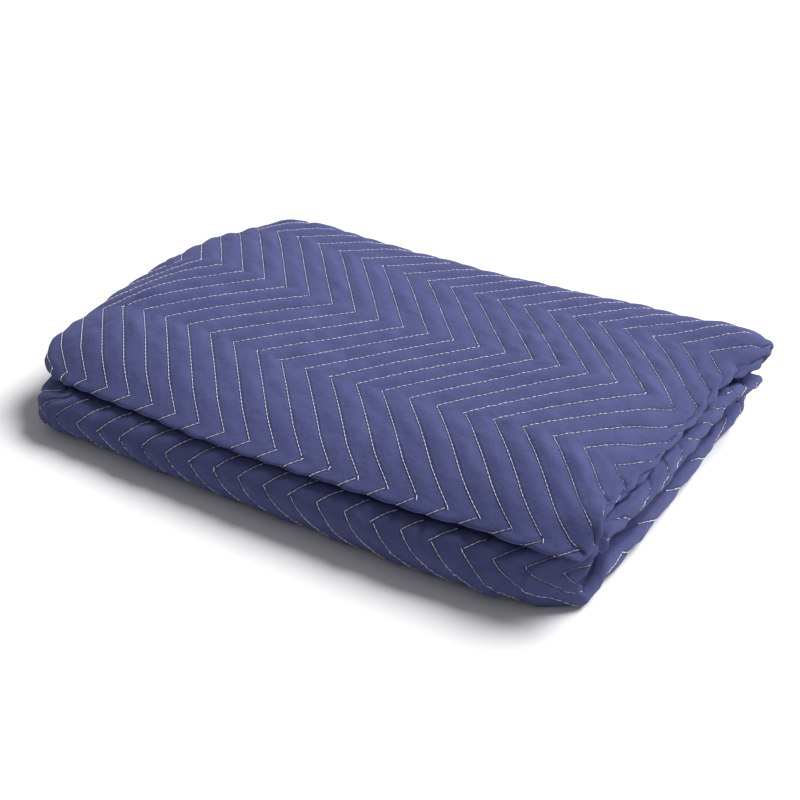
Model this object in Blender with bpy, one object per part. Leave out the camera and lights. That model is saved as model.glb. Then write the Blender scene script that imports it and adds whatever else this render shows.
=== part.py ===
# Folded quilted moving blanket: one pad, folded in thirds along its length,
# then both sides to the middle and in half.
import math

import bmesh
import bpy

# Driving sizes, in metres. STITCH is the distance between neighbouring quilting
# lines along the long side, and the folded sizes are counted in it.
STITCH = 0.0302
LONG_SIDE = 22.35 * STITCH
STACK_HEIGHT = 3.22 * STITCH
LEFT_END = -4.85 * STITCH
FRONT_UPPER = -4.30 * STITCH
FRONT_LOWER = -4.75 * STITCH
BACK = 10.70 * STITCH
MIDDLE_X = LEFT_END + LONG_SIDE / 2 + 0.16 * STITCH
MIDDLE_Y = (FRONT_LOWER + BACK) / 2 + 0.275 * STITCH

# Twelve plies lie one on another, a little apart.
PLY_COUNT = 12
PITCH = STACK_HEIGHT / PLY_COUNT
PLY = 0.84 * PITCH
CREASE_HEIGHT = STACK_HEIGHT / 2
FLOOR = (PITCH - PLY) / 2

# The quilting: zigzag lines whose corners lie in rows across the blanket.
ZIGZAG_ROW = 4.03 * STITCH
ZIGZAG_SHIFT = 3.33 * STITCH
ZIGZAG_FADE = 8 * STITCH
FRONT_ROW = 3.80 * STITCH
QUILT_DEPTH = 0.0016
LOWER_CORNER_HEIGHT = 1.40 * STITCH
LOWER_CORNER_ROW = 6

# Thirds: turns at the two ends, and where the flaps' hems end. The cloth bunches
# at the right end, so its turn takes more length than a tight one.
RIGHT_TURN = PITCH / 2
RIGHT_ARC = 1.1 * STITCH
LEFT_TURN = PITCH
MIDDLE_RIGHT = LEFT_END + LONG_SIDE - RIGHT_TURN - PLY / 2
MIDDLE_LEFT = LEFT_END + LEFT_TURN + PLY / 2
FIRST_FLAP_HEM = MIDDLE_LEFT + 0.5 * STITCH
SECOND_FLAP_HEM = MIDDLE_RIGHT - 2.4 * STITCH

# Halves: turns of the outermost ply in the section, and the inner free edges.
FRONT_TURN = 2.5 * PITCH
SPINE_TURN = 5.5 * PITCH
UPPER_FREE_EDGE = BACK - SPINE_TURN - 0.3 * STITCH
LOWER_FREE_EDGE = BACK - SPINE_TURN - 0.7 * STITCH

# The front of the upper half is pressed down to a long nose.
NOSE_PULL = 1.30 * STITCH
NOSE_LENGTH = 0.80 * STITCH
NOSE_RUN = 4.30 * STITCH
NOSE_TIP_SHARE = 0.25
LOWER_PULL = 0.12 * STITCH
CREASE_LIFT = 0.35 * STITCH
CREASE_LIFT_REACH = 5 * STITCH

# The left end rounds down, and the corners stand in from a true rectangle:
# places and shifts in stitches.
SHOULDER_DROP = 0.40 * STITCH
SHOULDER_REACH = 2.6 * STITCH
EDGE_REACH = 4 * STITCH
LEFT_OUTLINE = (
    # place across, shift of the upper half, shift of the lower half
    (-4.6, 1.00, 1.62),
    (-3.6, 0.66, 1.17),
    (-2.0, 0.28, 0.60),
    (2.0, 0.12, 0.30),
    (7.0, 0.12, 0.40),
    (9.0, 0.62, 0.80),
    (10.6, 1.85, 1.90),
)
RIGHT_OUTLINE = (
    # place across, shift of the upper half, shift of the lower half
    (-4.8, 0.85, 1.20),
    (-4.0, 0.65, 0.75),
    (-2.5, 0.38, 0.35),
    (1.0, 0.10, 0.15),
    (6.0, 0.00, 0.05),
    (9.0, -0.20, 0.36),
    (10.7, -0.05, 0.62),
)
WAIST = 0.90 * STITCH
WAIST_HEIGHT = 0.22 * STITCH
FRONT_OUTLINE = (
    # place along, shift of the upper half, shift of the lower half
    (-4.8, 0.55, 0.20),
    (-3.0, 0.42, 0.00),
    (0.0, 0.32, 0.00),
    (4.5, 0.13, 0.02),
    (8.0, 0.15, 0.04),
    (11.0, 0.27, 0.05),
    (14.0, 0.48, 0.25),
    (16.0, 0.48, 0.60),
    (17.5, 0.55, 1.20),
)
BACK_OUTLINE = (
    # place along, shift towards the middle
    (-4.8, 0.70),
    (-3.0, 0.20),
    (0.0, 0.00),
    (5.0, -0.40),
    (11.0, -0.55),
)

# Crown and sag of the top: height in stitches for each power of the distance
# from the middle along the blanket (in tens of stitches) and across it (in rows).
TOP_FORM = (
    # along, across, height, mean
    (2, 0, 1.219, 0.4),
    (0, 2, -0.178, 0.6),
    (1, 1, -0.121, 0.0),
    (3, 0, -0.062, 0.0),
    (2, 1, -0.022, 0.0),
    (1, 2, 0.085, 0.0),
    (4, 0, -1.051, 0.2),
)

# Far right corner of the top, which is pulled up and out.
NIB_LIFT = 0.62 * STITCH

# Right end: where each pair of plies ends up, in stitches above the floor, and
# how far it stands back from the end.
RIGHT_END_FORM = (
    # height in the stack, height at the end, set back
    (FLOOR / STITCH, FLOOR / STITCH, 0.35),
    (0.54, 1.18, 0.20),
    (1.07, 1.26, 0.85),
    (1.59, 1.62, 0.80),
    (1.63, 1.88, 0.10),
    (2.15, 2.72, 0.00),
    (2.68, 2.76, 0.30),
    (3.22, 2.98, 0.40),
)
END_REACH = 1.9 * STITCH
END_FADE = 2.0 * STITCH

# Cells of the mesh on each stretch.
TURN_CELLS = 4
FLAP_CELLS = 10
INNER_RUN_CELLS = 3
FRONT_TURN_CELLS = 6
SPINE_CELLS = 8
ROWS_PER_ZIGZAG = 3
BOTTOM_CELLS = 4


def smooth(low, high, value):
    """Zero below low, one above high, and a soft rise between them."""
    share = min(1.0, max(0.0, (value - low) / (high - low)))
    return share * share * (3 - 2 * share)


def read_table(table, column, value):
    """Value of one column of a table at a height in its first column."""
    value = min(table[-1][0], max(table[0][0], value))
    for lower, upper in zip(table, table[1:]):
        if value <= upper[0]:
            share = (value - lower[0]) / (upper[0] - lower[0])
            return lower[column] + share * (upper[column] - lower[column])
    return table[-1][column]


def read_outline(table, value, column=1):
    """Shift of an outline, with a soft bend at each place."""
    value = min(table[-1][0], max(table[0][0], value / STITCH))
    for lower, upper in zip(table, table[1:]):
        if value <= upper[0]:
            share = smooth(lower[0], upper[0], value)
            return (lower[column] + share * (upper[column] - lower[column])) * STITCH
    return table[-1][column] * STITCH


def fold_in_thirds(along, inward):
    """Place along the long side and depth under the outer ply of a flat point."""
    right_arc = RIGHT_ARC
    left_arc = math.pi * LEFT_TURN
    if along > MIDDLE_RIGHT:
        if along < MIDDLE_RIGHT + right_arc:
            angle = math.pi * (along - MIDDLE_RIGHT) / right_arc
            radius = RIGHT_TURN - inward
            return MIDDLE_RIGHT + radius * math.sin(angle), RIGHT_TURN - radius * math.cos(angle)
        return 2 * MIDDLE_RIGHT + right_arc - along, 2 * RIGHT_TURN - inward
    if along < MIDDLE_LEFT:
        if along > MIDDLE_LEFT - left_arc:
            angle = (MIDDLE_LEFT - along) / LEFT_TURN
            radius = LEFT_TURN - inward
            return MIDDLE_LEFT - radius * math.sin(angle), LEFT_TURN - radius * math.cos(angle)
        return 2 * MIDDLE_LEFT - left_arc - along, 2 * LEFT_TURN - inward
    return along, inward


def section_stretches():
    """Stretches of the outer ply's section, from the upper free edge to the lower."""
    upper = FRONT_UPPER + NOSE_PULL + FRONT_TURN + PLY / 2
    lower = FRONT_LOWER + LOWER_PULL + FRONT_TURN + PLY / 2
    spine = BACK - SPINE_TURN - PLY / 2
    return (
        # start y, end y, centre height, turn radius, way to the next ply
        (UPPER_FREE_EDGE, upper, 6.5 * PITCH, 0, 1),
        (upper, upper, 9 * PITCH, FRONT_TURN, -1),
        (upper, spine, 11.5 * PITCH, 0, -1),
        (spine, spine, 6 * PITCH, SPINE_TURN, 1),
        (spine, lower, 0.5 * PITCH, 0, 1),
        (lower, lower, 3 * PITCH, FRONT_TURN, -1),
        (lower, LOWER_FREE_EDGE, 5.5 * PITCH, 0, -1),
    )


UPPER_INNER, UPPER_TURN, TOP, SPINE, BOTTOM, LOWER_TURN, LOWER_INNER = range(7)
STRETCHES = section_stretches()


def fold_in_half(stretch, share, depth):
    """Y and height of a point at a share of one stretch and a depth in the strip."""
    start, end, height, turn, way = STRETCHES[stretch]
    if turn:
        angle = math.pi * share
        radius = way * (turn - depth)
        return start + radius * math.sin(angle), height + radius * math.cos(angle)
    return start + (end - start) * share, height + way * depth


def top_form(x, y):
    """Height of the top surface over its mean plane."""
    along = min(1.15, max(-1.1, (x / STITCH - 6) / 10))
    across = min(1.0, max(-1.0, (y - ZIGZAG_ROW) / ZIGZAG_ROW))
    total = 0.0
    for power, cross_power, height, mean in TOP_FORM:
        total += height * (along ** power * across ** cross_power - mean)
    return total * STITCH


def upper_share(stretch, share):
    """One in the upper half, zero in the lower, and a soft change at the spine."""
    return 1 - smooth(SPINE + 0.3, SPINE + 0.7, stretch + share)


def pull_front(y, upper):
    """Place across of a point near the front, drawn out where the half is pressed."""
    front = FRONT_UPPER + NOSE_PULL if upper > 0.5 else FRONT_LOWER + LOWER_PULL
    pull = NOSE_PULL if upper > 0.5 else LOWER_PULL
    return y - pull * math.exp(-max(0.0, y - front) / NOSE_LENGTH)


def edge_shift(x, y, upper):
    """Shift along the blanket of its two ends from a true rectangle."""
    right_end = LEFT_END + LONG_SIDE
    left = read_outline(LEFT_OUTLINE, y, 2)
    left += upper * (read_outline(LEFT_OUTLINE, y, 1) - left)
    right = read_outline(RIGHT_OUTLINE, y, 2)
    right += upper * (read_outline(RIGHT_OUTLINE, y, 1) - right)
    left *= 1 - smooth(LEFT_END, LEFT_END + EDGE_REACH, x)
    right *= smooth(right_end - EDGE_REACH, right_end, x)
    return left - right


def side_shift(x, y, upper):
    """Shift across the blanket of its front and back from a true rectangle."""
    front = read_outline(FRONT_OUTLINE, x, 2)
    front += upper * (read_outline(FRONT_OUTLINE, x, 1) - front)
    front *= 1 - smooth(FRONT_LOWER, FRONT_LOWER + EDGE_REACH, y)
    back = read_outline(BACK_OUTLINE, x) * smooth(BACK - EDGE_REACH, BACK, y)
    return front - back


def drape(x, y, z, upper):
    """Settle a point of the square stack into the blanket's soft form."""
    right_end = LEFT_END + LONG_SIDE
    level = z / STITCH
    y = pull_front(y, upper)
    lift = CREASE_LIFT * (x - LEFT_END) / LONG_SIDE
    crease = CREASE_HEIGHT + lift * (1 - smooth(FRONT_UPPER, FRONT_UPPER + CREASE_LIFT_REACH, y))
    if z > CREASE_HEIGHT:
        top = STACK_HEIGHT - crease + top_form(x, y)
        top -= SHOULDER_DROP * (1 - smooth(LEFT_END, LEFT_END + SHOULDER_REACH, x))
        top += NIB_LIFT * smooth(14 * STITCH, 17 * STITCH, x) * smooth(6 * STITCH, 9.5 * STITCH, y)
        rise = min(1.0, max(0.0, (y - FRONT_UPPER) / NOSE_RUN))
        top *= NOSE_TIP_SHARE + (1 - NOSE_TIP_SHARE) * math.sin(math.pi / 2 * rise)
        z = crease + (z - CREASE_HEIGHT) * top / (STACK_HEIGHT - CREASE_HEIGHT)
    else:
        z = FLOOR + (z - FLOOR) * (crease - FLOOR) / (CREASE_HEIGHT - FLOOR)
    near_end = smooth(right_end - END_REACH, right_end - 0.2 * END_REACH, x)
    front = FRONT_UPPER if upper > 0.5 else FRONT_LOWER + 0.2 * STITCH
    near_end *= smooth(front, front + 0.8 * END_FADE, y)
    near_end *= 1 - smooth(BACK - 2 * END_FADE, BACK - END_FADE, y)
    set_back = near_end * STITCH * read_table(RIGHT_END_FORM, 2, level)
    z += near_end * (STITCH * read_table(RIGHT_END_FORM, 1, level) - z)
    shift = edge_shift(x, y, upper)
    waist = WAIST * math.exp(-((z - crease) / WAIST_HEIGHT) ** 2)
    waist *= smooth(1.5 * STITCH, 4 * STITCH, -y)
    shift += waist * (1 - smooth(LEFT_END, LEFT_END + EDGE_REACH, x))
    return x + shift - set_back, y + side_shift(x, y, upper), z


def measure_section(samples=60):
    """Length along the draped outer face, with the stretch, share, y and height."""
    table = []
    total = 0.0
    for stretch in range(len(STRETCHES)):
        for step in range(samples + 1):
            y, z = fold_in_half(stretch, step / samples, -PLY / 2)
            point = drape(MIDDLE_X, y, z, upper_share(stretch, step / samples))
            if table:
                total += math.dist(point[1:], table[-1][3:])
            table.append((total, stretch, step / samples, point[1], point[2]))
    return table


SECTION = measure_section()


def first_length(stretch, low_y=-1.0, low_z=-1.0):
    """Length at the first sample of a stretch past a y and a height."""
    rows = (row for row in SECTION if row[1] == stretch and row[3] > low_y and row[4] > low_z)
    return next(rows)[0]


TOP_CORNER = first_length(TOP, low_y=0.0)
BOTTOM_START = first_length(BOTTOM)
LOWER_TURN_START = first_length(LOWER_TURN)
LOWER_CORNER = first_length(LOWER_TURN, low_z=LOWER_CORNER_HEIGHT)


def zigzag_rows(length):
    """Rows of zigzag corners from the one at the top's middle line to a length."""
    if length <= TOP_CORNER:
        return (length - TOP_CORNER) / FRONT_ROW
    if length <= BOTTOM_START:
        return (length - TOP_CORNER) / ZIGZAG_ROW
    if length >= LOWER_TURN_START:
        return LOWER_CORNER_ROW + (length - LOWER_CORNER) / ZIGZAG_ROW
    share = (length - BOTTOM_START) / (LOWER_TURN_START - BOTTOM_START)
    return (1 - share) * zigzag_rows(BOTTOM_START) + share * zigzag_rows(LOWER_TURN_START)


def place_at(length):
    """Stretch, share and length at a length along the section."""
    for lower, upper in zip(SECTION, SECTION[1:]):
        if lower[0] <= length < upper[0] and lower[1] == upper[1]:
            share = (length - lower[0]) / (upper[0] - lower[0])
            return lower[1], lower[2] + share * (upper[2] - lower[2]), length
    return SECTION[-1][1:3] + (length,)


def stretch_rows(stretch, cells, first=0):
    """Rows at even shares of one stretch."""
    table = [row for row in SECTION if row[1] == stretch]
    rows = []
    for step in range(first, cells):
        row = table[round(step / cells * (len(table) - 1))]
        rows.append((stretch, step / cells, row[0]))
    return rows


def section_rows():
    """Rows of the mesh along the section: stretch, share and length."""
    front_corner = TOP_CORNER - ZIGZAG_ROW
    turn_start = first_length(UPPER_TURN)
    rows = stretch_rows(UPPER_INNER, INNER_RUN_CELLS)
    for step in range(FRONT_TURN_CELLS):
        share = step / FRONT_TURN_CELLS
        rows.append(place_at(turn_start + share * (front_corner - turn_start)))
    for step in range(3 * ROWS_PER_ZIGZAG + 1):
        rows.append(place_at(front_corner + step * ZIGZAG_ROW / ROWS_PER_ZIGZAG))
    rows += stretch_rows(SPINE, SPINE_CELLS)
    rows += stretch_rows(BOTTOM, BOTTOM_CELLS)
    rows += stretch_rows(LOWER_TURN, FRONT_TURN_CELLS)
    rows += stretch_rows(LOWER_INNER, INNER_RUN_CELLS)
    rows.append((LOWER_INNER, 1.0, SECTION[-1][0]))
    return rows


def even_steps(start, end, cells):
    """Even steps from a start up to, but without, an end."""
    return [start + (end - start) * step / cells for step in range(cells)]


def length_columns():
    """Columns of the mesh along the flat long side: place and how much of a line."""
    right_arc = MIDDLE_RIGHT + RIGHT_ARC
    left_arc = MIDDLE_LEFT - math.pi * LEFT_TURN
    second_hem = left_arc - (SECOND_FLAP_HEM - MIDDLE_LEFT)
    first_hem = right_arc + (MIDDLE_RIGHT - FIRST_FLAP_HEM)
    columns = [(place, 0) for place in even_steps(second_hem, left_arc, FLAP_CELLS)]
    columns += [(place, 0) for place in even_steps(left_arc, MIDDLE_LEFT, TURN_CELLS)]
    columns.append((MIDDLE_LEFT, 0))
    half = math.ceil(MIDDLE_LEFT / STITCH * 2)
    while half * STITCH / 2 < MIDDLE_RIGHT:
        columns.append((half * STITCH / 2, 1 - half % 2))
        half += 1
    columns += [(place, 0) for place in even_steps(MIDDLE_RIGHT, right_arc, TURN_CELLS)]
    columns += [(place, 0) for place in even_steps(right_arc, first_hem, FLAP_CELLS)]
    columns.append((first_hem, 0))
    return columns


def fold_point(column, row, inward):
    """Folded place of one corner of the flat pad."""
    along, line = column
    stretch, share, length = row
    swing = abs(zigzag_rows(length)) % 2
    swing = min(swing, 2 - swing)
    whole = smooth(MIDDLE_LEFT, MIDDLE_LEFT + ZIGZAG_FADE, along)
    whole *= 1 - smooth(MIDDLE_RIGHT - ZIGZAG_FADE, MIDDLE_RIGHT, along)
    if inward < 0 and stretch not in (UPPER_INNER, BOTTOM, LOWER_INNER):
        inward += QUILT_DEPTH * line * whole
    x, depth = fold_in_thirds(along + ZIGZAG_SHIFT * swing * whole, inward)
    y, z = fold_in_half(stretch, share, depth)
    return drape(x, y, z, upper_share(stretch, share))


def build_blanket():
    """The whole folded pad as one closed solid."""
    columns = length_columns()
    rows = section_rows()
    mesh = bmesh.new()
    bmesh.ops.create_grid(mesh, x_segments=len(columns) - 1, y_segments=len(rows) - 1, size=1)
    bmesh.ops.solidify(mesh, geom=mesh.faces[:], thickness=PLY)
    middle = sum(vertex.co.z for vertex in mesh.verts) / len(mesh.verts)
    for vertex in mesh.verts:
        column = round((vertex.co.x + 1) / 2 * (len(columns) - 1))
        row = round((vertex.co.y + 1) / 2 * (len(rows) - 1))
        side = PLY / 2 if vertex.co.z > middle else -PLY / 2
        x, y, z = fold_point(columns[column], rows[row], side)
        vertex.co = (x - MIDDLE_X, y - MIDDLE_Y, z - FLOOR)
    bmesh.ops.recalc_face_normals(mesh, faces=mesh.faces)
    data = bpy.data.meshes.new("quilted_blanket")
    mesh.to_mesh(data)
    mesh.free()
    return bpy.data.objects.new("quilted_blanket", data)


def blue_fabric():
    """Blue-violet woven polyester face cloth."""
    material = bpy.data.materials.new("blue_fabric")
    material.use_nodes = True
    shader = material.node_tree.nodes["Principled BSDF"]
    shader.inputs["Base Color"].default_value = (0.085, 0.09, 0.26, 1.0)
    shader.inputs["Roughness"].default_value = 0.9
    return material


for old in list(bpy.data.objects):
    bpy.data.objects.remove(old)
collection = bpy.data.collections.new("moving_blanket")
bpy.context.scene.collection.children.link(collection)
blanket = build_blanket()
blanket.data.materials.append(blue_fabric())
collection.objects.link(blanket)
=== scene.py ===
# A quilted moving blanket, folded and lying flat, as in a shop photograph.
import bisect
import math

import bmesh
import bpy
from mathutils import Matrix, Vector, noise
from mathutils.bvhtree import BVHTree


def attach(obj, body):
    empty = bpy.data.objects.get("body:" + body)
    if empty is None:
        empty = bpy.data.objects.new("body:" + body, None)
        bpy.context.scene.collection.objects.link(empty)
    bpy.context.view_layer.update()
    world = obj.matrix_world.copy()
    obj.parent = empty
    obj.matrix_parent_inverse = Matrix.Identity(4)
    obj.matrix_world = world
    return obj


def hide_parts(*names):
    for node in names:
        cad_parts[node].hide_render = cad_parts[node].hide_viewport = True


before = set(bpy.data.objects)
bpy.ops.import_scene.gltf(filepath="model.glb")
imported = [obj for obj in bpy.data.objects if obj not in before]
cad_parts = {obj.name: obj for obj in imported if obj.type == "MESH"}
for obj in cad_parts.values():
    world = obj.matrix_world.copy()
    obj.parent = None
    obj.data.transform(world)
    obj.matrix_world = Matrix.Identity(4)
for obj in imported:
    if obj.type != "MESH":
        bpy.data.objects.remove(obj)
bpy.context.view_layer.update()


# The pad: two polyester face cloths with wadding between them, quilted together
# and hemmed as one sheet. It is folded in thirds along its length, then both
# sides to the middle and in half, so twelve plies lie in a stack.

# Driving sizes, in metres. STITCH is the distance between neighbouring quilting
# lines along the long side, and the folded sizes are counted in it.
STITCH = 0.0302
LONG_SIDE = 22.35 * STITCH
STACK_HEIGHT = 3.22 * STITCH
LEFT_END = -4.85 * STITCH
FRONT_UPPER = -4.30 * STITCH
FRONT_LOWER = -4.75 * STITCH
BACK = 10.70 * STITCH
MIDDLE_X = LEFT_END + LONG_SIDE / 2 + 0.16 * STITCH
MIDDLE_Y = (FRONT_LOWER + BACK) / 2 + 0.275 * STITCH

# Twelve plies lie one on another, a little apart.
PLY_COUNT = 12
PITCH = STACK_HEIGHT / PLY_COUNT
PLY = 0.84 * PITCH
CREASE_HEIGHT = STACK_HEIGHT / 2
FLOOR = (PITCH - PLY) / 2

# The quilting: zigzag lines whose corners lie in rows across the blanket.
ZIGZAG_ROW = 4.03 * STITCH
ZIGZAG_SHIFT = 3.33 * STITCH
FRONT_ROW = 3.80 * STITCH
LOWER_CORNER_HEIGHT = 1.40 * STITCH
LOWER_CORNER_ROW = 6

# Thirds: turns at the two ends, and where the flaps' hems end. The cloth bunches
# at the right end, so its turn takes more length than a tight one.
RIGHT_TURN = PITCH / 2
RIGHT_ARC = 1.1 * STITCH
LEFT_TURN = PITCH
MIDDLE_RIGHT = LEFT_END + LONG_SIDE - RIGHT_TURN - PLY / 2
MIDDLE_LEFT = LEFT_END + LEFT_TURN + PLY / 2
FIRST_FLAP_HEM = MIDDLE_LEFT + 0.5 * STITCH
SECOND_FLAP_HEM = MIDDLE_RIGHT - 2.4 * STITCH

# Halves: turns of the outermost ply in the section, and the inner free edges.
FRONT_TURN = 2.5 * PITCH
SPINE_TURN = 5.5 * PITCH
UPPER_FREE_EDGE = BACK - SPINE_TURN - 0.3 * STITCH
LOWER_FREE_EDGE = BACK - SPINE_TURN - 0.7 * STITCH

# The front of the upper half is pressed down to a long nose.
NOSE_PULL = 1.30 * STITCH
NOSE_LENGTH = 0.80 * STITCH
NOSE_RUN = 4.30 * STITCH
NOSE_TIP_SHARE = 0.25
LOWER_PULL = 0.12 * STITCH
CREASE_LIFT = 0.35 * STITCH
CREASE_LIFT_REACH = 5 * STITCH

# The left end rounds down, and the corners stand in from a true rectangle:
# places and shifts in stitches.
SHOULDER_DROP = 0.40 * STITCH
SHOULDER_REACH = 2.6 * STITCH
EDGE_REACH = 4 * STITCH
LEFT_OUTLINE = (
    # place across, shift of the upper half, shift of the lower half
    (-4.6, 1.00, 1.62),
    (-3.6, 0.66, 1.17),
    (-2.0, 0.28, 0.60),
    (2.0, 0.12, 0.30),
    (7.0, 0.12, 0.40),
    (9.0, 0.62, 0.80),
    (10.6, 1.85, 1.90),
)
RIGHT_OUTLINE = (
    # place across, shift of the upper half, shift of the lower half
    (-4.8, 0.85, 1.20),
    (-4.0, 0.65, 0.75),
    (-2.5, 0.38, 0.35),
    (1.0, 0.10, 0.15),
    (6.0, 0.00, 0.05),
    (9.0, -0.20, 0.36),
    (10.7, -0.05, 0.62),
)
WAIST = 0.90 * STITCH
WAIST_HEIGHT = 0.22 * STITCH
FRONT_OUTLINE = (
    # place along, shift of the upper half, shift of the lower half
    (-4.8, 0.55, 0.20),
    (-3.0, 0.42, 0.00),
    (0.0, 0.32, 0.00),
    (4.5, 0.13, 0.02),
    (8.0, 0.15, 0.04),
    (11.0, 0.27, 0.05),
    (14.0, 0.48, 0.25),
    (16.0, 0.48, 0.60),
    (17.5, 0.55, 1.20),
)
BACK_OUTLINE = (
    # place along, shift towards the middle
    (-4.8, 0.70),
    (-3.0, 0.20),
    (0.0, 0.00),
    (5.0, -0.40),
    (11.0, -0.55),
)

# Crown and sag of the top: height in stitches for each power of the distance
# from the middle along the blanket (in tens of stitches) and across it (in rows).
TOP_FORM = (
    # along, across, height, mean
    (2, 0, 1.219, 0.4),
    (0, 2, -0.178, 0.6),
    (1, 1, -0.121, 0.0),
    (3, 0, -0.062, 0.0),
    (2, 1, -0.022, 0.0),
    (1, 2, 0.085, 0.0),
    (4, 0, -1.051, 0.2),
)

# Far right corner of the top, which is pulled up and out.
NIB_LIFT = 0.62 * STITCH

# Right end: where each pair of plies ends up, in stitches above the floor, and
# how far it stands back from the end.
RIGHT_END_FORM = (
    # height in the stack, height at the end, set back
    (FLOOR / STITCH, FLOOR / STITCH, 0.35),
    (0.54, 1.18, 0.20),
    (1.07, 1.26, 0.85),
    (1.59, 1.62, 0.80),
    (1.63, 1.88, 0.10),
    (2.15, 2.72, 0.00),
    (2.68, 2.76, 0.30),
    (3.22, 2.98, 0.40),
)
END_REACH = 1.9 * STITCH
END_FADE = 2.0 * STITCH


def smooth(low, high, value):
    """Zero below low, one above high, and a soft rise between them."""
    share = min(1.0, max(0.0, (value - low) / (high - low)))
    return share * share * (3 - 2 * share)


def read_table(table, column, value):
    """Value of one column of a table at a height in its first column."""
    value = min(table[-1][0], max(table[0][0], value))
    for lower, upper in zip(table, table[1:]):
        if value <= upper[0]:
            share = (value - lower[0]) / (upper[0] - lower[0])
            return lower[column] + share * (upper[column] - lower[column])
    return table[-1][column]


def read_outline(table, value, column=1):
    """Shift of an outline, with a soft bend at each place."""
    value = min(table[-1][0], max(table[0][0], value / STITCH))
    for lower, upper in zip(table, table[1:]):
        if value <= upper[0]:
            share = smooth(lower[0], upper[0], value)
            return (lower[column] + share * (upper[column] - lower[column])) * STITCH
    return table[-1][column] * STITCH


def fold_in_thirds(along, inward):
    """Place along the long side and depth under the outer ply of a flat point."""
    right_arc = RIGHT_ARC
    left_arc = math.pi * LEFT_TURN
    if along > MIDDLE_RIGHT:
        if along < MIDDLE_RIGHT + right_arc:
            angle = math.pi * (along - MIDDLE_RIGHT) / right_arc
            radius = RIGHT_TURN - inward
            return MIDDLE_RIGHT + radius * math.sin(angle), RIGHT_TURN - radius * math.cos(angle)
        return 2 * MIDDLE_RIGHT + right_arc - along, 2 * RIGHT_TURN - inward
    if along < MIDDLE_LEFT:
        if along > MIDDLE_LEFT - left_arc:
            angle = (MIDDLE_LEFT - along) / LEFT_TURN
            radius = LEFT_TURN - inward
            return MIDDLE_LEFT - radius * math.sin(angle), LEFT_TURN - radius * math.cos(angle)
        return 2 * MIDDLE_LEFT - left_arc - along, 2 * LEFT_TURN - inward
    return along, inward


def section_stretches():
    """Stretches of the outer ply's section, from the upper free edge to the lower."""
    upper = FRONT_UPPER + NOSE_PULL + FRONT_TURN + PLY / 2
    lower = FRONT_LOWER + LOWER_PULL + FRONT_TURN + PLY / 2
    spine = BACK - SPINE_TURN - PLY / 2
    return (
        # start y, end y, centre height, turn radius, way to the next ply
        (UPPER_FREE_EDGE, upper, 6.5 * PITCH, 0, 1),
        (upper, upper, 9 * PITCH, FRONT_TURN, -1),
        (upper, spine, 11.5 * PITCH, 0, -1),
        (spine, spine, 6 * PITCH, SPINE_TURN, 1),
        (spine, lower, 0.5 * PITCH, 0, 1),
        (lower, lower, 3 * PITCH, FRONT_TURN, -1),
        (lower, LOWER_FREE_EDGE, 5.5 * PITCH, 0, -1),
    )


UPPER_INNER, UPPER_TURN, TOP, SPINE, BOTTOM, LOWER_TURN, LOWER_INNER = range(7)
STRETCHES = section_stretches()


def fold_in_half(stretch, share, depth):
    """Y and height of a point at a share of one stretch and a depth in the strip."""
    start, end, height, turn, way = STRETCHES[stretch]
    if turn:
        angle = math.pi * share
        radius = way * (turn - depth)
        return start + radius * math.sin(angle), height + radius * math.cos(angle)
    return start + (end - start) * share, height + way * depth


def top_form(x, y):
    """Height of the top surface over its mean plane."""
    along = min(1.15, max(-1.1, (x / STITCH - 6) / 10))
    across = min(1.0, max(-1.0, (y - ZIGZAG_ROW) / ZIGZAG_ROW))
    total = 0.0
    for power, cross_power, height, mean in TOP_FORM:
        total += height * (along ** power * across ** cross_power - mean)
    return total * STITCH


def upper_share(stretch, share):
    """One in the upper half, zero in the lower, and a soft change at the spine."""
    return 1 - smooth(SPINE + 0.3, SPINE + 0.7, stretch + share)


def pull_front(y, upper):
    """Place across of a point near the front, drawn out where the half is pressed."""
    front = FRONT_UPPER + NOSE_PULL if upper > 0.5 else FRONT_LOWER + LOWER_PULL
    pull = NOSE_PULL if upper > 0.5 else LOWER_PULL
    return y - pull * math.exp(-max(0.0, y - front) / NOSE_LENGTH)


def edge_shift(x, y, upper):
    """Shift along the blanket of its two ends from a true rectangle."""
    right_end = LEFT_END + LONG_SIDE
    left = read_outline(LEFT_OUTLINE, y, 2)
    left += upper * (read_outline(LEFT_OUTLINE, y, 1) - left)
    right = read_outline(RIGHT_OUTLINE, y, 2)
    right += upper * (read_outline(RIGHT_OUTLINE, y, 1) - right)
    left *= 1 - smooth(LEFT_END, LEFT_END + EDGE_REACH, x)
    right *= smooth(right_end - EDGE_REACH, right_end, x)
    return left - right


def side_shift(x, y, upper):
    """Shift across the blanket of its front and back from a true rectangle."""
    front = read_outline(FRONT_OUTLINE, x, 2)
    front += upper * (read_outline(FRONT_OUTLINE, x, 1) - front)
    front *= 1 - smooth(FRONT_LOWER, FRONT_LOWER + EDGE_REACH, y)
    back = read_outline(BACK_OUTLINE, x) * smooth(BACK - EDGE_REACH, BACK, y)
    return front - back


def near_right_end(x, y, upper):
    """One at the right end, and a soft fall to zero inwards and at both corners."""
    right_end = LEFT_END + LONG_SIDE
    front = FRONT_UPPER + 0.5 * STITCH if upper > 0.5 else FRONT_LOWER + 0.8 * STITCH
    near_end = smooth(right_end - END_REACH, right_end - 0.2 * END_REACH, x)
    near_end *= smooth(front, front + 0.8 * END_FADE, y)
    return near_end * (1 - smooth(BACK - 2 * END_FADE, BACK - END_FADE, y))


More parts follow.
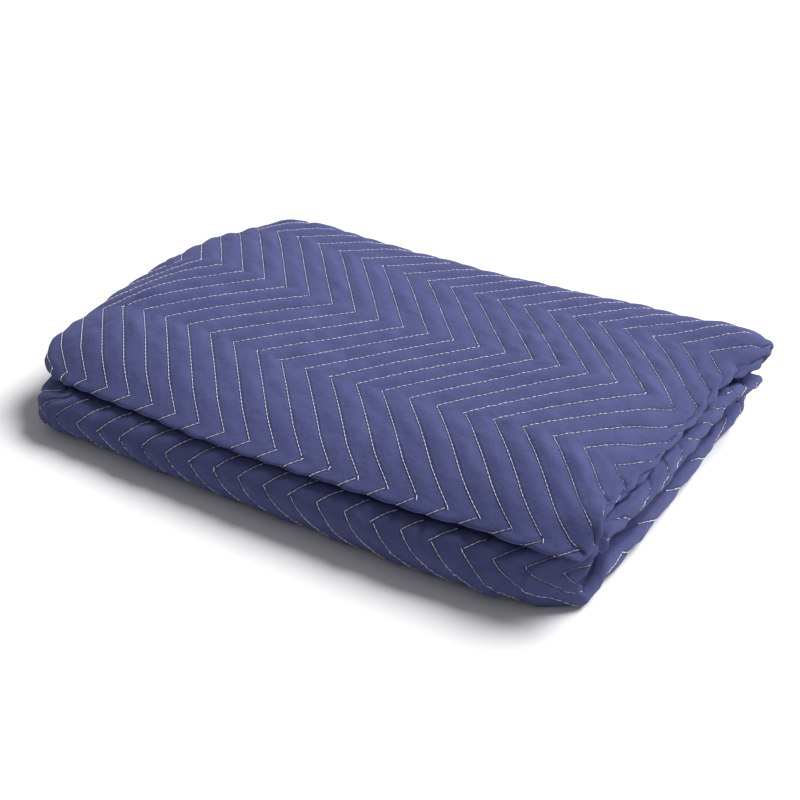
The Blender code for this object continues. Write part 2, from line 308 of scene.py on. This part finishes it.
def drape(x, y, z, upper):
    """Settle a point of the square stack into the blanket's soft form."""
    level = z / STITCH
    y = pull_front(y, upper)
    lift = CREASE_LIFT * (x - LEFT_END) / LONG_SIDE
    crease = CREASE_HEIGHT + lift * (1 - smooth(FRONT_UPPER, FRONT_UPPER + CREASE_LIFT_REACH, y))
    if z > CREASE_HEIGHT:
        top = STACK_HEIGHT - crease + top_form(x, y)
        top -= SHOULDER_DROP * (1 - smooth(LEFT_END, LEFT_END + SHOULDER_REACH, x))
        top += NIB_LIFT * smooth(14 * STITCH, 17 * STITCH, x) * smooth(6 * STITCH, 9.5 * STITCH, y)
        rise = min(1.0, max(0.0, (y - FRONT_UPPER) / NOSE_RUN))
        top *= NOSE_TIP_SHARE + (1 - NOSE_TIP_SHARE) * math.sin(math.pi / 2 * rise)
        z = crease + (z - CREASE_HEIGHT) * top / (STACK_HEIGHT - CREASE_HEIGHT)
    else:
        z = FLOOR + (z - FLOOR) * (crease - FLOOR) / (CREASE_HEIGHT - FLOOR)
    near_end = near_right_end(x, y, upper)
    set_back = near_end * STITCH * read_table(RIGHT_END_FORM, 2, level)
    z += near_end * (STITCH * read_table(RIGHT_END_FORM, 1, level) - z)
    shift = edge_shift(x, y, upper)
    waist = WAIST * math.exp(-((z - crease) / WAIST_HEIGHT) ** 2)
    waist *= smooth(1.5 * STITCH, 4 * STITCH, -y)
    shift += waist * (1 - smooth(LEFT_END, LEFT_END + EDGE_REACH, x))
    return x + shift - set_back, y + side_shift(x, y, upper), z


def measure_section(samples=60):
    """Length along the draped outer face, with the stretch, share, y and height."""
    table = []
    total = 0.0
    for stretch in range(len(STRETCHES)):
        for step in range(samples + 1):
            y, z = fold_in_half(stretch, step / samples, -PLY / 2)
            point = drape(MIDDLE_X, y, z, upper_share(stretch, step / samples))
            if table:
                total += math.dist(point[1:], table[-1][3:])
            table.append((total, stretch, step / samples, point[1], point[2]))
    return table


SECTION = measure_section()


def first_length(stretch, low_y=-1.0, low_z=-1.0):
    """Length at the first sample of a stretch past a y and a height."""
    rows = (row for row in SECTION if row[1] == stretch and row[3] > low_y and row[4] > low_z)
    return next(rows)[0]


TOP_CORNER = first_length(TOP, low_y=0.0)
BOTTOM_START = first_length(BOTTOM)
LOWER_TURN_START = first_length(LOWER_TURN)
LOWER_CORNER = first_length(LOWER_TURN, low_z=LOWER_CORNER_HEIGHT)


def zigzag_rows(length):
    """Rows of zigzag corners from the one at the top's middle line to a length."""
    if length <= TOP_CORNER:
        return (length - TOP_CORNER) / FRONT_ROW
    if length <= BOTTOM_START:
        return (length - TOP_CORNER) / ZIGZAG_ROW
    if length >= LOWER_TURN_START:
        return LOWER_CORNER_ROW + (length - LOWER_CORNER) / ZIGZAG_ROW
    share = (length - BOTTOM_START) / (LOWER_TURN_START - BOTTOM_START)
    return (1 - share) * zigzag_rows(BOTTOM_START) + share * zigzag_rows(LOWER_TURN_START)


SECTION_LENGTHS = [row[0] for row in SECTION]


def place_at(length):
    """Stretch and share at a length along the section."""
    index = min(len(SECTION) - 1, max(1, bisect.bisect_right(SECTION_LENGTHS, length)))
    lower, upper = SECTION[index - 1], SECTION[index]
    if lower[1] != upper[1]:
        return upper[1], upper[2]
    share = (length - lower[0]) / (upper[0] - lower[0])
    return upper[1], lower[2] + share * (upper[2] - lower[2])


# Puffed channels between the quilting lines, deeper where the pad turns, and the
# small pulls that run across them.
DOME_POWER = 2.0
QUILT_DEPTH = 0.0029
TURN_DEPTH = 0.0014
PINCH_DEPTH = 0.0028
LINE_WOBBLE = 0.0007
FRONT_SHIFT = 0.15 * STITCH
FRONT_SPREAD = 0.030
LOWER_SHIFT = 0.60 * STITCH
LOWER_SPREAD = 0.042
LOWER_SKEW = 0.045
WRINKLE = 0.0022
SWELL = 0.0012
CREASE_DEPTH = 0.0030
PUCKER = 0.0022
RELIEF_BY_STRETCH = (
    # stretch and share, how much of the relief
    (0.00, 0.40),
    (1.00, 0.50),
    (1.45, 0.30),
    (1.80, 0.80),
    (2.20, 1.00),
    (3.50, 1.00),
    (4.00, 0.00),
    (5.00, 0.00),
    (5.35, 1.30),
    (6.00, 0.80),
    (7.00, 0.30),
)


def pattern_place(along, length):
    """Place of a point of the pad in its quilting: along, and rows of corners."""
    stretch, share = place_at(length)
    y, z = fold_in_half(stretch, share, 0.0)
    start, end, _, turn, way = STRETCHES[stretch]
    heading = way * math.cos(math.pi * share) if turn else math.copysign(1.0, end - start)
    upper = upper_share(stretch, share)
    x = min(LEFT_END + LONG_SIDE, max(LEFT_END, along))
    y = pull_front(y, upper)
    rows = zigzag_rows(length + heading * side_shift(x, y, upper))
    lower = min(1.0, max(0.0, stretch + share - BOTTOM))
    moved = along + edge_shift(x, y, upper)
    moved -= near_right_end(x, y, upper) * STITCH * read_table(RIGHT_END_FORM, 2, z / STITCH)
    moved -= (FRONT_SHIFT - FRONT_SPREAD * min(0.0, x)) * min(1.0, max(0.0, -rows))
    moved -= lower * (LOWER_SHIFT - LOWER_SPREAD * (x - MIDDLE_X))
    rows -= lower * LOWER_SKEW * (max(-STITCH, x) - MIDDLE_X) / ZIGZAG_ROW
    return moved, rows


def quilt_channel(along, rows):
    """Place across the channels: a whole number on each quilting line."""
    swing = abs(rows) % 2
    swing = min(swing, 2 - swing)
    wobble = LINE_WOBBLE * noise.noise(Vector((along * 14, rows * 1.7, 3.1)))
    return (along + wobble - ZIGZAG_SHIFT * swing) / STITCH


def puff(along, length, stretch, share):
    """How far the face cloth lies under the top of its puffed channels."""
    moved, rows = pattern_place(along, length)
    channel = quilt_channel(moved, rows)
    line = math.floor(channel)
    across = channel - line
    dome = 1 - abs(2 * across - 1) ** DOME_POWER
    seen = read_table(RELIEF_BY_STRETCH, 1, stretch + share)
    y, _ = fold_in_half(stretch, share, 0.0)
    clear = smooth(FRONT_UPPER, FRONT_UPPER + 2 * STITCH, y)
    right_end = smooth(MIDDLE_RIGHT - 1.4 * STITCH, MIDDLE_RIGHT, along) * clear
    left_end = smooth(-MIDDLE_LEFT - 1.4 * STITCH, -MIDDLE_LEFT, -along)
    pinch = math.exp(-((along - MIDDLE_RIGHT - 0.12 * STITCH) / (0.40 * STITCH)) ** 2)
    pull = noise.noise(Vector((line * 5.3 + across * 0.5, rows * 4.6 + across * 0.9, 0.7)))
    pull += 0.5 * noise.noise(Vector((line * 2.9 - across, rows * 9.7 + across, 5.7)))
    swell = noise.noise(Vector((along * 11, length * 11, 9.2)))
    crease = max(0.0, 1 - 4 * abs(noise.noise(Vector((along * 46, length * 15, 4.4)))))
    crease *= smooth(-0.05, 0.35, noise.noise(Vector((along * 8, length * 8, 1.7))))
    pucker = noise.noise(Vector((along * 30, length * 55, 6.1))) * right_end
    depth = (QUILT_DEPTH * seen + TURN_DEPTH * (right_end + 0.5 * left_end)) * (1 - dome)
    depth += PINCH_DEPTH * pinch * clear * (0.35 + abs(2 * across - 1) ** 4)
    depth += seen * ((CREASE_DEPTH * crease - WRINKLE * pull) * dome - SWELL * swell)
    return depth + PUCKER * pucker


def fold_flat(along, length, inward, outer):
    """Folded place of a point of the flat pad, inward from its middle surface."""
    stretch, share = place_at(length)
    if outer:
        inward += puff(along, length, stretch, share)
    x, depth = fold_in_thirds(along, inward)
    y, z = fold_in_half(stretch, share, depth)
    x, y, z = drape(x, y, z, upper_share(stretch, share))
    return Vector((x - MIDDLE_X, y - MIDDLE_Y, z - FLOOR))


# Cells of the cloth: finer where it shows.
RIGHT_ARC_END = MIDDLE_RIGHT + RIGHT_ARC
LEFT_ARC_END = MIDDLE_LEFT - math.pi * LEFT_TURN
FIRST_HEM = RIGHT_ARC_END + MIDDLE_RIGHT - FIRST_FLAP_HEM
SECOND_HEM = LEFT_ARC_END - SECOND_FLAP_HEM + MIDDLE_LEFT
ALONG_STRETCHES = (
    # start, end, cells
    (SECOND_HEM, LEFT_ARC_END, 10),
    (LEFT_ARC_END, MIDDLE_LEFT, 7),
    (MIDDLE_LEFT, MIDDLE_RIGHT, 132),
    (MIDDLE_RIGHT, RIGHT_ARC_END, 12),
    (RIGHT_ARC_END, FIRST_HEM, 10),
)
UPPER_TURN_START = first_length(UPPER_TURN)
LOWER_TURN_END = first_length(LOWER_INNER)
ACROSS_STRETCHES = (
    # start, end, cells
    (0.0, UPPER_TURN_START, 30),
    (UPPER_TURN_START, TOP_CORNER - ZIGZAG_ROW, 18),
    (TOP_CORNER - ZIGZAG_ROW, TOP_CORNER, 30),
    (TOP_CORNER, TOP_CORNER + ZIGZAG_ROW, 30),
    (TOP_CORNER + ZIGZAG_ROW, TOP_CORNER + 2 * ZIGZAG_ROW, 30),
    (TOP_CORNER + 2 * ZIGZAG_ROW, TOP_CORNER + 3 * ZIGZAG_ROW, 30),
    (TOP_CORNER + 3 * ZIGZAG_ROW, BOTTOM_START, 10),
    (BOTTOM_START, LOWER_TURN_START, 30),
    (LOWER_TURN_START, LOWER_CORNER, 9),
    (LOWER_CORNER, LOWER_TURN_END, 12),
    (LOWER_TURN_END, SECTION_LENGTHS[-1], 14),
)


def stations(stretches):
    """Places of the cloth's grid lines on one side of the flat pad."""
    places = [stretches[0][0]]
    for start, end, cells in stretches:
        places += [start + (end - start) * step / cells for step in range(1, cells + 1)]
    return places


along_places = stations(ALONG_STRETCHES)
across_places = stations(ACROSS_STRETCHES)
cloth = bmesh.new()
bmesh.ops.create_grid(
    cloth,
    x_segments=len(along_places) - 1,
    y_segments=len(across_places) - 1,
    size=1,
    calc_uvs=True,
)
bmesh.ops.solidify(cloth, geom=cloth.faces[:], thickness=PLY)
flat_map = cloth.loops.layers.uv.new("flat")
channel_layer = cloth.verts.layers.float.new("channel")
middle_height = sum(vertex.co.z for vertex in cloth.verts) / len(cloth.verts)
for vertex in cloth.verts:
    along = along_places[round((vertex.co.x + 1) / 2 * (len(along_places) - 1))]
    length = across_places[round((vertex.co.y + 1) / 2 * (len(across_places) - 1))]
    outer = vertex.co.z < middle_height
    vertex[channel_layer] = quilt_channel(*pattern_place(along, length))
    for loop in vertex.link_loops:
        loop[flat_map].uv = (along, length)
    vertex.co = fold_flat(along, length, -PLY / 2 if outer else PLY / 2, outer)
    vertex.co.z = max(0.0, vertex.co.z)
bmesh.ops.recalc_face_normals(cloth, faces=cloth.faces)
for face in cloth.faces:
    face.smooth = True
cloth_tree = BVHTree.FromBMesh(cloth)
pad_mesh = bpy.data.meshes.new("quilted_pad")
cloth.to_mesh(pad_mesh)
cloth.free()
pad = bpy.data.objects.new("quilted_pad", pad_mesh)
bpy.context.scene.collection.objects.link(pad)


def named_node(tree, kind, place, **sockets):
    """A shader node at a place in the tree, with values for its sockets."""
    node = tree.nodes.new(kind)
    node.location = place
    for socket, value in sockets.items():
        node.inputs[socket.replace("_", " ")].default_value = value
    return node


def maths(tree, operation, first, second=None):
    """The output of a maths node on sockets or numbers."""
    node = tree.nodes.new("ShaderNodeMath")
    node.operation = operation
    for index, value in enumerate((first, second)):
        if value is None:
            continue
        if isinstance(value, (int, float)):
            node.inputs[index].default_value = value
        else:
            tree.links.new(value, node.inputs[index])
    return node.outputs[0]


# Blue face cloth: a fine plain weave. Its colour carries painted shade, darker in
# the sewn valleys, and painted light, paler where the channels puff up, over a random
# mottle; the crinkle and weave also pale the colour where they raise the bump, a
# little painted light on their crests.
DARK_MOTTLE_AND_SHADE_BLUE = (0.032, 0.035, 0.100, 1.0)
PALE_MOTTLE_AND_LIGHT_BLUE = (0.078, 0.086, 0.222, 1.0)
WEAVE_PITCH = 0.0006
face_cloth = bpy.data.materials.new("blue_face_cloth")
face_cloth.use_nodes = True
tree = face_cloth.node_tree
shader = tree.nodes["Principled BSDF"]
shader.inputs["Roughness"].default_value = 0.82
shader.inputs["Specular IOR Level"].default_value = 0.15
shader.inputs["Sheen Weight"].default_value = 0.12
shader.inputs["Sheen Roughness"].default_value = 0.45
shader.inputs["Sheen Tint"].default_value = (0.55, 0.58, 1.0, 1.0)
flat_place = tree.nodes.new("ShaderNodeUVMap")
flat_place.uv_map = "flat"
channel_place = tree.nodes.new("ShaderNodeAttribute")
channel_place.attribute_name = "channel"
axes = tree.nodes.new("ShaderNodeSeparateXYZ")
tree.links.new(flat_place.outputs["UV"], axes.inputs[0])
yarns = 2 * math.pi / WEAVE_PITCH
warp = maths(tree, "SINE", maths(tree, "MULTIPLY", axes.outputs["X"], yarns))
weft = maths(tree, "SINE", maths(tree, "MULTIPLY", axes.outputs["Y"], yarns))
weave = maths(tree, "MULTIPLY", warp, weft)
valley = maths(tree, "PINGPONG", channel_place.outputs["Fac"], 0.5)
rise = tree.nodes.new("ShaderNodeMapRange")
rise.interpolation_type = "SMOOTHSTEP"
rise.inputs["From Max"].default_value = 0.14
tree.links.new(valley, rise.inputs["Value"])
crinkle = named_node(tree, "ShaderNodeTexNoise", (-700, -300), Scale=95, Detail=5, Roughness=0.55)
tree.links.new(flat_place.outputs["UV"], crinkle.inputs["Vector"])
mottle = named_node(tree, "ShaderNodeTexNoise", (-700, 0), Scale=26, Detail=3, Roughness=0.6)
tree.links.new(flat_place.outputs["UV"], mottle.inputs["Vector"])
# Painted shade and light: the colour darkens towards each quilting line and pales on the puff
# between lines, and the crinkle and weave pale it on their raised crests; the mottle is random
# tone.
shade = maths(tree, "MULTIPLY", rise.outputs["Result"], 0.45)
shade = maths(tree, "ADD", shade, maths(tree, "MULTIPLY", mottle.outputs["Fac"], 0.5))
shade = maths(tree, "ADD", shade, maths(tree, "MULTIPLY", crinkle.outputs["Fac"], 0.25))
shade = maths(tree, "ADD", shade, maths(tree, "MULTIPLY", weave, 0.06))
blues = tree.nodes.new("ShaderNodeValToRGB")
blues.color_ramp.elements[0].position = 0.05
blues.color_ramp.elements[0].color = DARK_MOTTLE_AND_SHADE_BLUE
blues.color_ramp.elements[1].position = 0.95
blues.color_ramp.elements[1].color = PALE_MOTTLE_AND_LIGHT_BLUE
tree.links.new(shade, blues.inputs["Fac"])
tree.links.new(blues.outputs["Color"], shader.inputs["Base Color"])
height = maths(tree, "MULTIPLY", rise.outputs["Result"], 0.0006)
height = maths(tree, "ADD", height, maths(tree, "MULTIPLY", crinkle.outputs["Fac"], 0.0012))
height = maths(tree, "ADD", height, maths(tree, "MULTIPLY", weave, 0.00005))
bump = named_node(tree, "ShaderNodeBump", (-200, -300), Strength=1.0, Distance=1.0)
tree.links.new(height, bump.inputs["Height"])
tree.links.new(bump.outputs["Normal"], shader.inputs["Normal"])
pad_mesh.materials.append(face_cloth)
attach(pad, "root")
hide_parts("quilted_blanket")


# Lock stitching: pale thread, about 6 mm a stitch, in zigzag lines that run right
# across the pad and sink a little into the cloth at each needle hole.
STITCH_PITCH = 0.0058
STITCH_LENGTH = 0.0064
THREAD_WIDTH = 0.00100
THREAD_RISE = 0.00028
GREY_THREAD = (0.72, 0.72, 0.84, 1.0)
WHITE_THREAD = (0.94, 0.94, 1.00, 1.0)
LINE_COUNT = 40
FIRST_LINE = -12
LINE_STEPS = 6
DRIFT_STEP = 0.001
SEWN_STRETCHES = (
    # start, end, least and greatest place along the pad
    (0.0, UPPER_TURN_START, MIDDLE_RIGHT - 0.2 * STITCH, RIGHT_ARC_END),
    (UPPER_TURN_START, BOTTOM_START, LEFT_ARC_END, RIGHT_ARC_END),
    (BOTTOM_START, LOWER_TURN_START, MIDDLE_RIGHT - 0.1 * STITCH, RIGHT_ARC_END),
    (LOWER_TURN_START, LOWER_TURN_END, LEFT_ARC_END, RIGHT_ARC_END),
    (LOWER_TURN_END, SECTION_LENGTHS[-1], MIDDLE_RIGHT - 0.2 * STITCH, RIGHT_ARC_END),
)


def line_along(line, length):
    """Place along the pad of a quilting line at a length across it."""
    along = line * STITCH
    for _ in range(LINE_STEPS):
        along -= (quilt_channel(*pattern_place(along, length)) - line) * STITCH
    return along


one_stitch = bmesh.new()
bmesh.ops.create_uvsphere(one_stitch, u_segments=4, v_segments=3, radius=0.5)
bmesh.ops.rotate(one_stitch, verts=one_stitch.verts, matrix=Matrix.Rotation(math.pi / 2, 3, "X"))
stitch_mesh = bpy.data.meshes.new("one_stitch")
one_stitch.to_mesh(stitch_mesh)
one_stitch.free()
stitch_points = [vertex.co.copy() for vertex in stitch_mesh.vertices]
thread = bmesh.new()
for line in range(FIRST_LINE, FIRST_LINE + LINE_COUNT):
    for start, end, low, high in SEWN_STRETCHES:
        length = start
        while length < end:
            centre = length
            along = line_along(line, centre)
            drift = (line_along(line, centre + DRIFT_STEP) - along) / DRIFT_STEP
            slant = math.hypot(1.0, drift)
            length += STITCH_PITCH / slant
            if not low < along < high:
                continue
            before = len(thread.verts)
            thread.from_mesh(stitch_mesh)
            thread.verts.ensure_lookup_table()
            for vertex, point in zip(thread.verts[before:], stitch_points):
                reach = point.y * STITCH_LENGTH / slant
                aside = along + drift * reach + point.x * THREAD_WIDTH
                rest = fold_flat(aside, centre + reach, -PLY / 2, True)
                place, normal, _, _ = cloth_tree.find_nearest(rest)
                vertex.co = place + normal * (point.z * THREAD_WIDTH + THREAD_RISE)
                vertex.co.z = max(0.0, vertex.co.z)
bpy.data.meshes.remove(stitch_mesh)
for face in thread.faces:
    face.smooth = True
stitching_mesh = bpy.data.meshes.new("zigzag_stitching")
thread.to_mesh(stitching_mesh)
thread.free()
stitching = bpy.data.objects.new("zigzag_stitching", stitching_mesh)
bpy.context.scene.collection.objects.link(stitching)
pale_thread = bpy.data.materials.new("pale_thread")
pale_thread.use_nodes = True
tree = pale_thread.node_tree
shader = tree.nodes["Principled BSDF"]
shader.inputs["Roughness"].default_value = 0.6
shader.inputs["Sheen Weight"].default_value = 0.1
fibres = named_node(tree, "ShaderNodeTexNoise", (-700, 0), Scale=900, Detail=3)
places = tree.nodes.new("ShaderNodeTexCoord")
tree.links.new(places.outputs["Object"], fibres.inputs["Vector"])
tones = tree.nodes.new("ShaderNodeValToRGB")
tones.color_ramp.elements[0].position = 0.3
tones.color_ramp.elements[0].color = GREY_THREAD
tones.color_ramp.elements[1].position = 0.7
tones.color_ramp.elements[1].color = WHITE_THREAD
tree.links.new(fibres.outputs["Fac"], tones.inputs["Fac"])
tree.links.new(tones.outputs["Color"], shader.inputs["Base Color"])
stitching_mesh.materials.append(pale_thread)
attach(stitching, "root")


# The studio: a wide sheet of white paper as the floor, one large soft light from
# above and behind, and the camera at the photograph's viewing angle.
PAPER_HALF_WIDTH = 9
PAPER_WHITE = (0.86, 0.86, 0.87, 1.0)
floor_mesh = bpy.data.meshes.new("floor")
ground = bmesh.new()
bmesh.ops.create_grid(ground, x_segments=1, y_segments=1, size=PAPER_HALF_WIDTH)
ground.to_mesh(floor_mesh)
ground.free()
floor = bpy.data.objects.new("floor", floor_mesh)
bpy.context.scene.collection.objects.link(floor)
paper = bpy.data.materials.new("white_paper")
paper.use_nodes = True
shader = paper.node_tree.nodes["Principled BSDF"]
shader.inputs["Base Color"].default_value = PAPER_WHITE
shader.inputs["Roughness"].default_value = 0.9
floor_mesh.materials.append(paper)

KEY_DIRECTION = Vector((0.38, 0.66, 0.76))
KEY_STRENGTH = 5.0
KEY_SPREAD = math.radians(36)
SKY_STRENGTH = 0.25
key_light = bpy.data.lights.new("key_light", "SUN")
key_light.energy = KEY_STRENGTH
key_light.angle = KEY_SPREAD
lamp = bpy.data.objects.new("key_light", key_light)
lamp.location = KEY_DIRECTION * 2
lamp.rotation_euler = KEY_DIRECTION.to_track_quat("Z", "Y").to_euler()
bpy.context.scene.collection.objects.link(lamp)
world = bpy.data.worlds.new("studio")
world.use_nodes = True
sky = world.node_tree.nodes["Background"]
sky.inputs["Color"].default_value = (1.0, 1.0, 1.0, 1.0)
sky.inputs["Strength"].default_value = SKY_STRENGTH
bpy.context.scene.world = world
bpy.context.scene.view_settings.view_transform = "Standard"

AZIMUTH = math.radians(30.94)
ELEVATION = math.radians(31.06)
ROLL = math.radians(1.13)
FOCAL_PIXELS = 1239.2
PICTURE_PIXELS = 800
CAMERA_PLACE = Vector((26.03, -28.93, 23.12)) * STITCH - Vector((MIDDLE_X, MIDDLE_Y, FLOOR))
backward = Vector((
    math.sin(AZIMUTH) * math.cos(ELEVATION),
    -math.cos(AZIMUTH) * math.cos(ELEVATION),
    math.sin(ELEVATION),
))
level_right = Vector((math.cos(AZIMUTH), math.sin(AZIMUTH), 0.0))
level_up = backward.cross(level_right)
right = level_right * math.cos(ROLL) + level_up * math.sin(ROLL)
up = level_up * math.cos(ROLL) - level_right * math.sin(ROLL)
lens = bpy.data.cameras.new("camera")
lens.sensor_width = 36
lens.lens = FOCAL_PIXELS / PICTURE_PIXELS * lens.sensor_width
camera = bpy.data.objects.new("camera", lens)
camera.matrix_world = Matrix((right, up, backward)).transposed().to_4x4()
camera.location = CAMERA_PLACE
bpy.context.scene.collection.objects.link(camera)
bpy.context.scene.camera = camera
